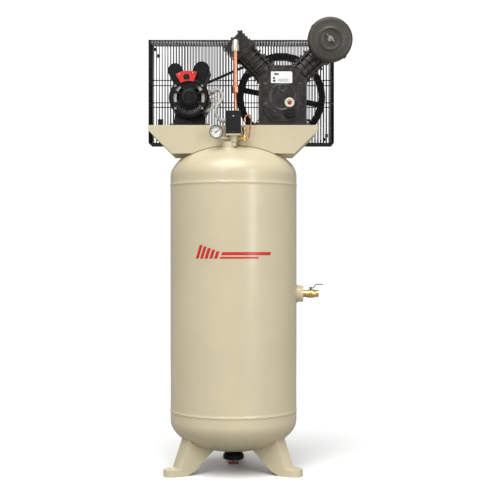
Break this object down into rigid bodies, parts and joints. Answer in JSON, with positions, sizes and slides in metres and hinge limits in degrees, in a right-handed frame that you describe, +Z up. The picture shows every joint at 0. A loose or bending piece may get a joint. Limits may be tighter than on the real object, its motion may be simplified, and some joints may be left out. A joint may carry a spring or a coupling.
{
  "type": "vertical tank air compressor",
  "caption": "Vertical air receiver on legs with a deck carrying a belt-driven V-type piston pump, an electric motor, a pressure switch and a wire belt guard.",
  "frame": {"origin": "on the floor under the tank's axis", "axes": "+Z up, -Y towards the front with the pressure switch, +X to the viewer's right at the front"},
  "size_m": [0.8134, 0.5606, 1.7829],
  "materials": {
    "receiver_paint": "semi-gloss cream paint",
    "black_paint": "satin black paint",
    "pump_iron": "dark grey painted casting",
    "steel": "bright steel",
    "aluminium": "cast aluminium",
    "copper": "bright copper tube",
    "brass": "machined brass",
    "belt_rubber": "black rubber",
    "black_plastic": "matte black plastic",
    "red_plate": "bright red paint",
    "tee_red": "red-brown paint",
    "filter_paper": "pleated paper",
    "gauge_white": "white dial in a metal case",
    "sight_window": "pale ring with an amber window",
    "conduit_grey": "ribbed grey conduit"
  },
  "bodies": {
    "compressor": {"belt_guard_front": "black_paint", "belt_guard_rear": "black_paint", "belt_guard_returns": "black_paint", "capacitor_cover_left": "black_paint", "capacitor_cover_right": "black_paint", "check_valve": "brass", "crank_bearing": "steel", "crankcase": "pump_iron", "crankcase_cover": "pump_iron", "cylinder_head_left": "pump_iron", "cylinder_head_right": "pump_iron", "cylinder_left": "pump_iron", "cylinder_right": "pump_iron", "deck": "receiver_paint", "discharge_elbow": "aluminium", "discharge_pipe": "copper", "discharge_tube_lower": "copper", "drain_skirt": "black_paint", "drain_valve": "brass", "drive_belt": "belt_rubber", "filter_cover": "black_paint", "filter_element": "filter_paper", "filter_pan": "black_paint", "gauge_case": "gauge_white", "leg_left": "receiver_paint", "leg_rear": "receiver_paint", "leg_right": "receiver_paint", "manifold": "receiver_paint", "motor_base": "black_paint", "motor_bell_front": "black_paint", "motor_conduit": "conduit_grey", "motor_shell": "black_paint", "motor_stator": "steel", "oil_sight_glass": "sight_window", "outlet_valve_body": "brass", "relief_valve": "brass", "switch_cover": "black_plastic", "tank_head_bottom": "receiver_paint", "tank_head_top": "receiver_paint", "tank_shell": "receiver_paint", "terminal_cover": "red_plate", "unloader_tube": "copper", "valve_plate_left": "pump_iron", "valve_plate_right": "pump_iron"},
    "crank": {"crankshaft": "steel", "flywheel": "black_paint"},
    "motor_drive": {"motor_rotor": "steel", "motor_pulley": "black_paint"},
    "piston_assembly_left": {"piston_left": "aluminium", "connecting_rod_left": "aluminium"},
    "piston_assembly_right": {"piston_right": "aluminium", "connecting_rod_right": "aluminium"},
    "outlet_handle": {"outlet_valve_ball": "steel", "outlet_valve_lever": "black_plastic"},
    "drain_handle": {"drain_tee": "tee_red"},
    "relief_pull": {"relief_ring": "steel"},
    "reset": {"reset_button": "black_plastic"},
    "needle": {"gauge_needle": "black_plastic"},
    "wing_nut": {"filter_wing_nut": "steel"},
    "oil_cap": {"oil_filler_cap": "black_plastic"}
  },
  "joints": [
    {"name": "flywheel_spin", "type": "hinge", "parent": "compressor", "child": "crank", "pos_m": [0.195, 0.17, 1.515], "axis": [0, 1, 0], "continuous": true},
    {"name": "motor_spin", "type": "hinge", "parent": "compressor", "child": "motor_drive", "pos_m": [-0.173, 0.17, 1.477], "axis": [0, 1, 0], "continuous": true},
    {"name": "piston_left_slide", "type": "slide", "parent": "compressor", "child": "piston_assembly_left", "axis": [-0.7071, 0, 0.7071], "range_m": [-0.052, 0.011]},
    {"name": "piston_right_slide", "type": "slide", "parent": "compressor", "child": "piston_assembly_right", "axis": [0.7071, 0, 0.7071], "range_m": [-0.052, 0.011]},
    {"name": "outlet_lever_turn", "type": "hinge", "parent": "compressor", "child": "outlet_handle", "pos_m": [0.31, 0, 0.705], "axis": [0, 0, 1], "range_deg": [0, 90]},
    {"name": "drain_turn", "type": "hinge", "parent": "compressor", "child": "drain_handle", "pos_m": [0, 0, 0.025], "axis": [0, 0, 1], "range_deg": [0, 180]},
    {"name": "relief_ring_pull", "type": "slide", "parent": "compressor", "child": "relief_pull", "axis": [0, 0, 1], "range_m": [0, 0.003], "stiffness_N_per_m": 400},
    {"name": "reset_press", "type": "slide", "parent": "compressor", "child": "reset", "axis": [0, 1, 0], "range_m": [0, 0.003], "stiffness_N_per_m": 400},
    {"name": "needle_swing", "type": "hinge", "parent": "compressor", "child": "needle", "pos_m": [-0.064, -0.19, 1.335], "axis": [0, 1, 0], "range_deg": [-190, 80]},
    {"name": "wing_nut_turn", "type": "hinge", "parent": "compressor", "child": "wing_nut", "pos_m": [0.37673, -0.178, 1.69673], "axis": [0, 1, 0], "continuous": true},
    {"name": "oil_cap_turn", "type": "hinge", "parent": "compressor", "child": "oil_cap", "pos_m": [0.223, -0.11, 1.4185], "axis": [0, 1, 0], "continuous": true}
  ],
  "couplings": [
    {"joint": "motor_spin", "follows": "flywheel_spin", "ratio": 2.746}
  ]
}
